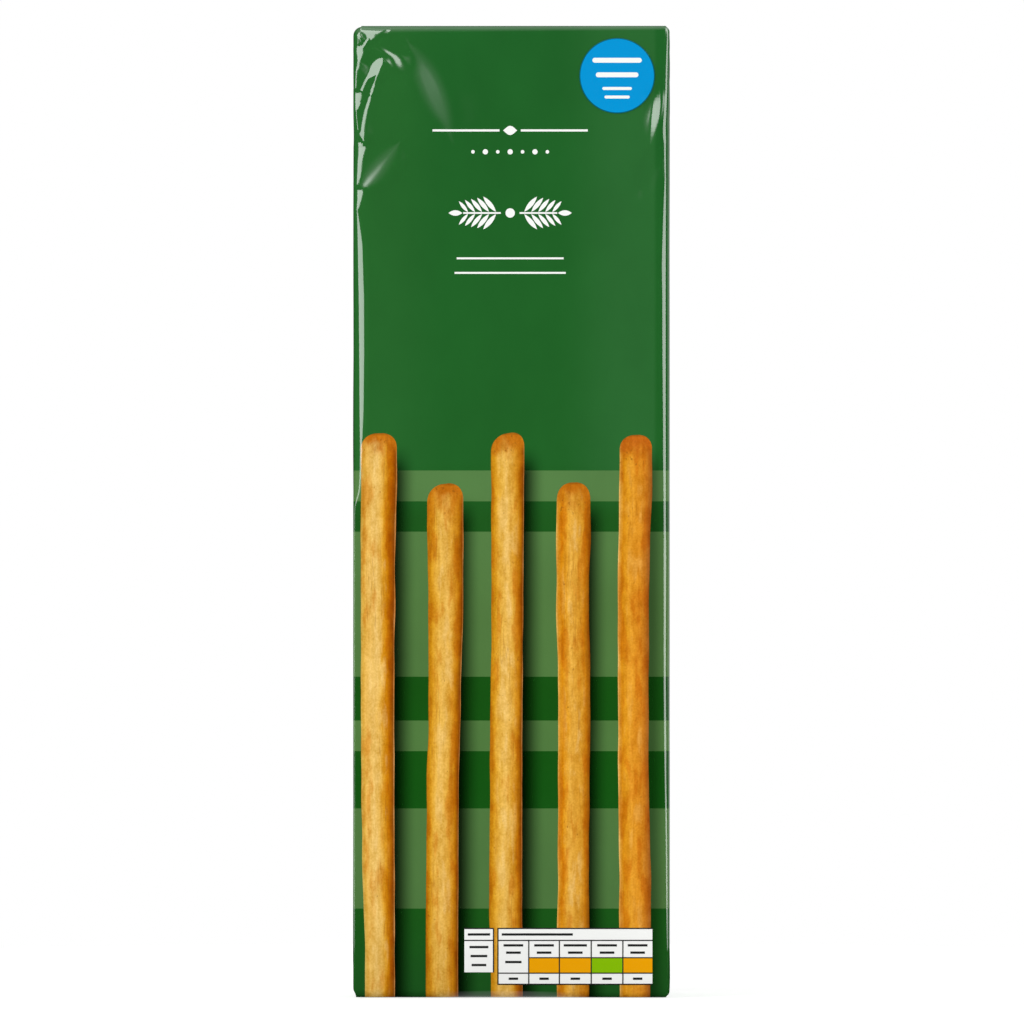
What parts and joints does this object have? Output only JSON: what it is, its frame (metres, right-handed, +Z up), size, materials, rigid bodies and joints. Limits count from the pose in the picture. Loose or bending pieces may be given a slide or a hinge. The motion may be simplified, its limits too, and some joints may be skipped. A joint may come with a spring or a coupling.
{
  "type": "film-wrapped breadstick pack",
  "caption": "Tall slim block of breadsticks, shut in glossy green printed film with envelope-folded ends, a lap seam down the back and a round blue label high on the front.",
  "frame": {"origin": "middle of the pack's base", "axes": "+Z up the pack's long side, -Y out of the printed front, +X to the right seen from the front"},
  "size_m": [0.074, 0.0326, 0.2276],
  "materials": {
    "printed_film": "glossy film printed in two greens, golden bars on the front",
    "blue_label": "smooth coated paper, satin",
    "white_print": "white ink under glossy film",
    "dark_print": "near-black ink under glossy film",
    "amber_print": "amber ink under glossy film",
    "lime_print": "lime ink under glossy film"
  },
  "bodies": {
    "root": {"film_pack": "printed_film", "round_label": "blue_label"}
  },
  "joints": []
}
